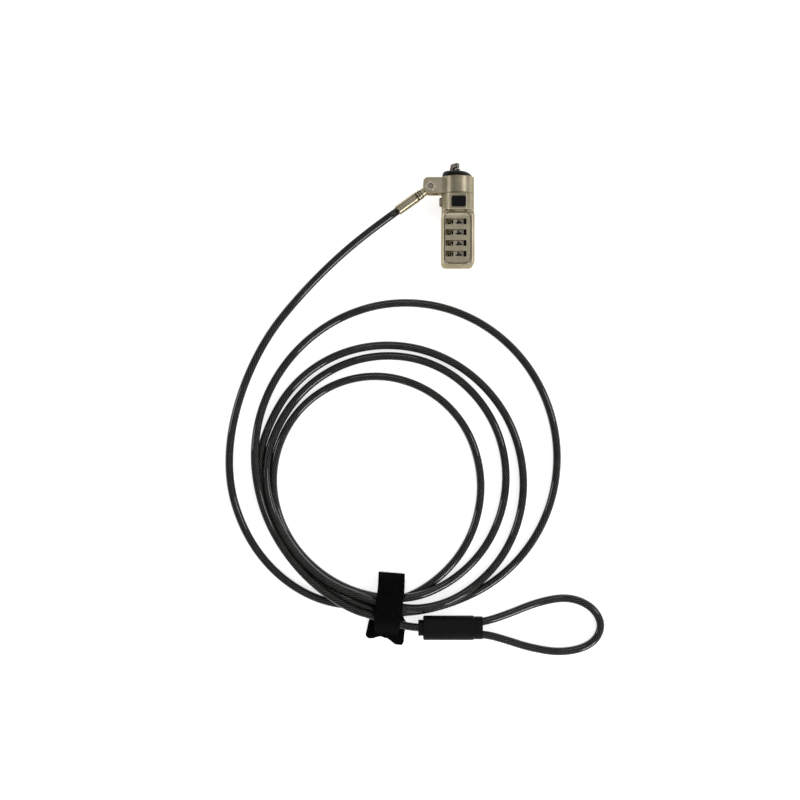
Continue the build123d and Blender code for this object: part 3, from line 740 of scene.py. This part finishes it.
def digit_form(tree, start, digit, swell):
    """One digit in place on its facet of a wheel at the origin."""
    text = add(tree, "GeometryNodeStringToCurves", align_x="CENTER", align_y="MIDDLE",
               String=str(digit))
    outline = tree.nodes.new("GeometryNodeRealizeInstances")
    even = add(tree, "GeometryNodeResampleCurve", Count=DIGIT_POINTS)
    upright = add(tree, "GeometryNodeSetCurveNormal", mode="Z_UP")
    bold = tree.nodes.new("GeometryNodeSetPosition")
    fill = tree.nodes.new("GeometryNodeFillCurve")
    solid = add(tree, "GeometryNodeExtrudeMesh", Individual=False)
    lift = add(tree, "GeometryNodeTransform", Rotation=(0, 0, radians(-90)))
    facet = radians(360 / WHEEL_FACETS * (TOP_DIGIT - digit))
    turn = add(tree, "GeometryNodeTransform", Rotation=(0, facet, 0))
    out = add(tree, "ShaderNodeCombineXYZ")
    for source, target in (
        (start.outputs["Digit size"], text.inputs["Size"]),
        (text.outputs["Curve Instances"], outline.inputs["Geometry"]),
        (outline.outputs["Geometry"], even.inputs["Curve"]),
        (even.outputs["Curve"], upright.inputs["Curve"]),
        (upright.outputs["Curve"], bold.inputs["Geometry"]),
        (swell, bold.inputs["Offset"]),
        (bold.outputs["Geometry"], fill.inputs["Curve"]),
        (fill.outputs["Mesh"], solid.inputs["Mesh"]),
        (start.outputs["Depth"], solid.inputs["Offset Scale"]),
        (solid.outputs["Mesh"], lift.inputs["Geometry"]),
        (start.outputs["Facet distance"], out.inputs["Z"]),
        (out.outputs["Vector"], lift.inputs["Translation"]),
        (lift.outputs["Geometry"], turn.inputs["Geometry"]),
    ):
        tree.links.new(source, target)
    return turn.outputs["Geometry"]


def digit_tree():
    """Nodes that put a digit on every facet of one wheel."""
    tree, start = new_tree("wheel_digits", {
        "Wheel position": "Float", "Axis height": "Float", "Facet distance": "Float",
        "Digit size": "Float", "Depth": "Float", "Bold": "Float",
    })
    normal = tree.nodes.new("GeometryNodeInputNormal")
    swell = add(tree, "ShaderNodeVectorMath", operation="SCALE")
    tree.links.new(normal.outputs["Normal"], swell.inputs[0])
    tree.links.new(start.outputs["Bold"], swell.inputs["Scale"])
    join = tree.nodes.new("GeometryNodeJoinGeometry")
    for digit in range(WHEEL_FACETS):
        placed = digit_form(tree, start, digit, swell.outputs["Vector"])
        tree.links.new(placed, join.inputs["Geometry"])
    centre = add(tree, "ShaderNodeCombineXYZ")
    tree.links.new(start.outputs["Wheel position"], centre.inputs["Y"])
    tree.links.new(start.outputs["Axis height"], centre.inputs["Z"])
    place = tree.nodes.new("GeometryNodeTransform")
    tree.links.new(centre.outputs["Vector"], place.inputs["Translation"])
    tree.links.new(join.outputs["Geometry"], place.inputs["Geometry"])
    finish_realize(tree, start, place.outputs["Geometry"])
    return tree


def finish_realize(tree, start, geometry):
    """End a tree in real geometry with its finish."""
    realize = tree.nodes.new("GeometryNodeRealizeInstances")
    paint = tree.nodes.new("GeometryNodeSetMaterial")
    end = tree.nodes.new("NodeGroupOutput")
    tree.links.new(geometry, realize.inputs["Geometry"])
    tree.links.new(realize.outputs["Geometry"], paint.inputs["Geometry"])
    tree.links.new(start.outputs["Finish"], paint.inputs["Material"])
    tree.links.new(paint.outputs["Geometry"], end.inputs["Geometry"])


def grown(name, tree, inputs, body):
    """One mesh piece from a node tree with these inputs, on a body."""
    holder = bpy.data.objects.new(name, bpy.data.meshes.new(name))
    bpy.context.scene.collection.objects.link(holder)
    modifier = holder.modifiers.new("grow", "NODES")
    modifier.node_group = tree
    for socket in tree.interface.items_tree:
        if socket.item_type == "SOCKET" and socket.in_out == "INPUT" and socket.name in inputs:
            modifier[socket.identifier] = inputs[socket.name]
    shown = holder.evaluated_get(bpy.context.evaluated_depsgraph_get())
    mesh = bpy.data.meshes.new_from_object(shown)
    bpy.data.objects.remove(holder)
    if not mesh.polygons:
        raise RuntimeError(f"{name} came out empty")
    mesh.name = name
    show(name, mesh, inputs["Finish"], body)


def build_digits(settings):
    """Black digits on every wheel."""
    tree = digit_tree()
    ink = flat_black("digit_ink")
    for index in range(WHEEL_COUNT):
        grown(f"digits_{index + 1}", tree, {
            "Wheel position": (WHEEL_FIRST_Y - WHEEL_PITCH * index) * MM,
            "Axis height": AXIS_Z * MM,
            "Facet distance": FACET_DISTANCE * MM,
            "Digit size": settings.size,
            "Depth": settings.depth,
            "Bold": settings.bold,
            "Finish": ink,
        }, f"dial_{index + 1}")


def paint_nodes():
    """Give every CAD node its own finish, or that of its material slot."""
    heading = radians(FITTING_HEADING)
    fitting = (RIVET, (cos(heading), sin(heading)))
    own = {
        # Painted shade: the collar's ring and the housing's barrel above the block take the darker
        # tone, and the lug and the block keep the full tone.
        "swivel_collar": toned_metal("collar_metal", (0.0, 0.0), (-1.0, 0.0), (COLLAR_R,),
                                     (PAINTED_SHADE_TONE, 1.0)),
        "housing": toned_metal("housing_metal", (0.0, BLOCK_TOP_Y), (0.0, 1.0), (0.1,),
                               (1.0, PAINTED_SHADE_TONE)),
        "rivet": rivet_metal(),
        "front_plate": plate_metal(),
        "t_bar": metal("t_bar_steel"),
        "guide_pins": metal("pin_steel"),
        "eye_fitting": eye_metal(*fitting),
        # painted shade at the ferrule's two ends
        "cable_ferrule": toned_metal("ferrule_metal", *fitting, FERRULE_EDGES, FERRULE_SHADE_TONES),
    }
    by_slot = {}
    for row in frame["record"]["subparts"]:
        node = frame["nodes"][row["node"]]
        if node.hide_render:
            continue
        slot = row["material_slot"]
        finish = own.get(row["node"]) or by_slot.get(slot)
        if finish is None:
            finish = by_slot[slot] = slot_finish(slot)
        for place in node.material_slots:
            place.material = finish


# ---- stage -------------------------------------------------------------------------------
def area_light(name, at, towards, size, power):
    """A soft rectangular light."""
    data = bpy.data.lights.new(name, "AREA")
    data.shape = "RECTANGLE"
    data.size, data.size_y = size
    data.energy = power
    lamp = bpy.data.objects.new(name, data)
    lamp.location = at
    lamp.rotation_euler = (Vector(towards) - Vector(at)).to_track_quat("-Z", "Y").to_euler()
    bpy.context.scene.collection.objects.link(lamp)


def room_light(tree, settings):
    """White room that is brightest overhead and to the right."""
    place = add(tree, "ShaderNodeTexCoord")
    parts = add(tree, "ShaderNodeSeparateXYZ")
    tree.links.new(place.outputs["Generated"], parts.inputs["Vector"])
    height = spread(tree, parts.outputs["Z"], settings.horizon, settings.zenith)
    side = add(tree, "ShaderNodeMapRange")
    side.inputs["From Min"].default_value = -1.0
    side.inputs["To Min"].default_value, side.inputs["To Max"].default_value = ROOM_SIDES
    tree.links.new(parts.outputs["X"], side.inputs["Value"])
    background = tree.nodes["Background"]
    background.inputs["Color"].default_value = (1.0, 1.0, 1.0, 1.0)
    strength = number(tree, "MULTIPLY", height, side.outputs["Result"])
    tree.links.new(strength, background.inputs["Strength"])


def build_floor():
    """A wide floor just under the object."""
    floor = bpy.data.meshes.new("floor")
    corners = [(x * FLOOR_HALF, y * FLOOR_HALF, 0) for x, y in ((-1, -1), (1, -1), (1, 1), (-1, 1))]
    floor.from_pydata(corners, [], [(0, 1, 2, 3)])
    floor.materials.append(floor_finish())
    ground = bpy.data.objects.new("floor", floor)
    ground.location.z = -FLOOR_DROP
    bpy.context.scene.collection.objects.link(ground)


def build_camera(scene):
    """The camera, above the object and facing down."""
    camera = bpy.data.cameras.new("camera")
    camera.lens = CAMERA_LENS
    camera.sensor_width = CAMERA_SENSOR
    camera.clip_start = 0.01
    eye = bpy.data.objects.new("camera", camera)
    eye.location = CAMERA_AT
    scene.collection.objects.link(eye)
    scene.camera = eye


def build_stage(settings):
    """Floor, lights, world and camera."""
    scene = bpy.context.scene
    world = bpy.data.worlds.new("room")
    world.use_nodes = True
    room_light(world.node_tree, settings)
    scene.world = world
    scene.view_settings.view_transform = "Standard"
    for name, (at, size, share) in SIDE_LIGHTS.items():
        area_light(name, at, STAGE_MIDDLE, size, share * settings.sides)
    place, size = FRONT_LIGHT
    area_light("front", place, STAGE_MIDDLE, size, settings.front)
    build_camera(scene)
    build_floor()


# ---- add-on ------------------------------------------------------------------------------
class CableSettings(bpy.types.PropertyGroup):
    """How finely the cable is meshed."""
    sides: bpy.props.IntProperty(name="Sides", description="Sides of the cable's section",
                                 default=20, min=8, max=48)


class StrapSettings(bpy.types.PropertyGroup):
    """How finely the strap is meshed."""
    steps: bpy.props.IntProperty(name="Steps", description="Rows between two stations",
                                 default=6, min=2, max=20)
    across: bpy.props.IntProperty(name="Columns", description="Columns across the strap",
                                  default=36, min=4, max=60)


class SpringSettings(bpy.types.PropertyGroup):
    """How finely the button's spring is meshed."""
    sides: bpy.props.IntProperty(name="Sides", description="Sides of the wire's section",
                                 default=10, min=6, max=24)


class FibreSettings(bpy.types.PropertyGroup):
    """Pile of the strap."""
    density: bpy.props.FloatProperty(name="Density", description="Loops to the square metre",
                                     default=1.4e6)
    length: bpy.props.FloatProperty(name="Length", description="Reach of a loop",
                                    default=0.00055, unit="LENGTH", subtype="DISTANCE")
    radius: bpy.props.FloatProperty(name="Radius", description="Half the thickness of a loop",
                                    default=0.00003, unit="LENGTH", subtype="DISTANCE")
    seed: bpy.props.IntProperty(name="Seed", description="Seed of the places", default=7)


class DigitSettings(bpy.types.PropertyGroup):
    """Lettering of the dials."""
    size: bpy.props.FloatProperty(name="Digit size", description="Height of the lettering",
                                  default=0.0045, unit="LENGTH", subtype="DISTANCE")
    bold: bpy.props.FloatProperty(name="Bold", description="How far the strokes are widened",
                                  default=0.00012, unit="LENGTH", subtype="DISTANCE")
    depth: bpy.props.FloatProperty(name="Depth", description="How far the ink stands proud",
                                   default=0.00003, unit="LENGTH", subtype="DISTANCE")


class StageSettings(bpy.types.PropertyGroup):
    """Light of the room and the lamps."""
    horizon: bpy.props.FloatProperty(name="Horizon", description="Light from the sides",
                                     default=0.4)
    zenith: bpy.props.FloatProperty(name="Zenith", description="Light from straight above",
                                    default=0.56)
    sides: bpy.props.FloatProperty(name="Side lights", default=3.0, unit="POWER",
                                   description="Power that each side light takes a share of")
    front: bpy.props.FloatProperty(name="Front light", default=4.5, unit="POWER",
                                   description="Power of the light in front")


class Piece:
    """What the operators share."""
    bl_options = {"REGISTER", "UNDO"}

    def execute(self, context):
        self.make(context.scene)
        return {"FINISHED"}


class LOCK_OT_finish(Piece, bpy.types.Operator):
    """Give the CAD nodes their finishes"""
    bl_idname = "lock.finish"
    bl_label = "Finish metal and plastic"

    def make(self, scene):
        paint_nodes()


class LOCK_OT_cable(Piece, bpy.types.Operator):
    """Build the coiled cable"""
    bl_idname = "lock.cable"
    bl_label = "Build cable"

    def make(self, scene):
        build_cable(scene.lock_cable)


class LOCK_OT_strap(Piece, bpy.types.Operator):
    """Build the hook-and-loop strap"""
    bl_idname = "lock.strap"
    bl_label = "Build strap"

    def make(self, scene):
        build_strap(scene.lock_strap)


class LOCK_OT_fibres(Piece, bpy.types.Operator):
    """Grow the pile of the strap, which is built first"""
    bl_idname = "lock.fibres"
    bl_label = "Grow strap pile"

    def make(self, scene):
        build_fibres(scene.lock_fibres)


class LOCK_OT_spring(Piece, bpy.types.Operator):
    """Build the button's return spring"""
    bl_idname = "lock.spring"
    bl_label = "Build spring"

    def make(self, scene):
        build_spring(scene.lock_spring)


class LOCK_OT_digits(Piece, bpy.types.Operator):
    """Put the digits on the dials"""
    bl_idname = "lock.digits"
    bl_label = "Build digits"

    def make(self, scene):
        build_digits(scene.lock_digits)


class LOCK_OT_stage(Piece, bpy.types.Operator):
    """Build the floor, lights and camera"""
    bl_idname = "lock.stage"
    bl_label = "Build stage"

    def make(self, scene):
        build_stage(scene.lock_stage)


class LOCK_PT_panel(bpy.types.Panel):
    """Cable lock panel"""
    bl_label = "Cable lock"
    bl_space_type = "VIEW_3D"
    bl_region_type = "UI"
    bl_category = "Cable lock"

    def draw(self, context):
        for group, operator, names in PANEL_ROWS:
            box = self.layout.box()
            for name in names:
                box.prop(getattr(context.scene, group), name)
            box.operator(operator)
        self.layout.operator("lock.finish")


PANEL_ROWS = [
    ("lock_cable", "lock.cable", ["sides"]),
    ("lock_strap", "lock.strap", ["steps", "across"]),
    ("lock_fibres", "lock.fibres", ["density", "length", "radius", "seed"]),
    ("lock_spring", "lock.spring", ["sides"]),
    ("lock_digits", "lock.digits", ["size", "bold", "depth"]),
    ("lock_stage", "lock.stage", ["horizon", "zenith", "sides", "front"]),
]
GROUPS = {
    "lock_cable": CableSettings, "lock_strap": StrapSettings, "lock_fibres": FibreSettings,
    "lock_spring": SpringSettings, "lock_digits": DigitSettings, "lock_stage": StageSettings,
}
CLASSES = [*GROUPS.values(), LOCK_OT_finish, LOCK_OT_cable, LOCK_OT_strap, LOCK_OT_fibres,
           LOCK_OT_spring, LOCK_OT_digits, LOCK_OT_stage, LOCK_PT_panel]


def register():
    """Add the classes and their settings to Blender."""
    for kind in CLASSES:
        bpy.utils.register_class(kind)
    for name, group in GROUPS.items():
        setattr(bpy.types.Scene, name, bpy.props.PointerProperty(type=group))


def unregister():
    """Take them away again."""
    for name in GROUPS:
        delattr(bpy.types.Scene, name)
    for kind in reversed(CLASSES):
        bpy.utils.unregister_class(kind)


def main():
    """Build every piece."""
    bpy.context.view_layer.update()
    register()
    bpy.ops.lock.stage()
    bpy.ops.lock.cable()
    bpy.ops.lock.strap()
    bpy.ops.lock.fibres()
    bpy.ops.lock.spring()
    bpy.ops.lock.digits()
    bpy.ops.lock.finish()


if __name__ == "__main__":
    main()
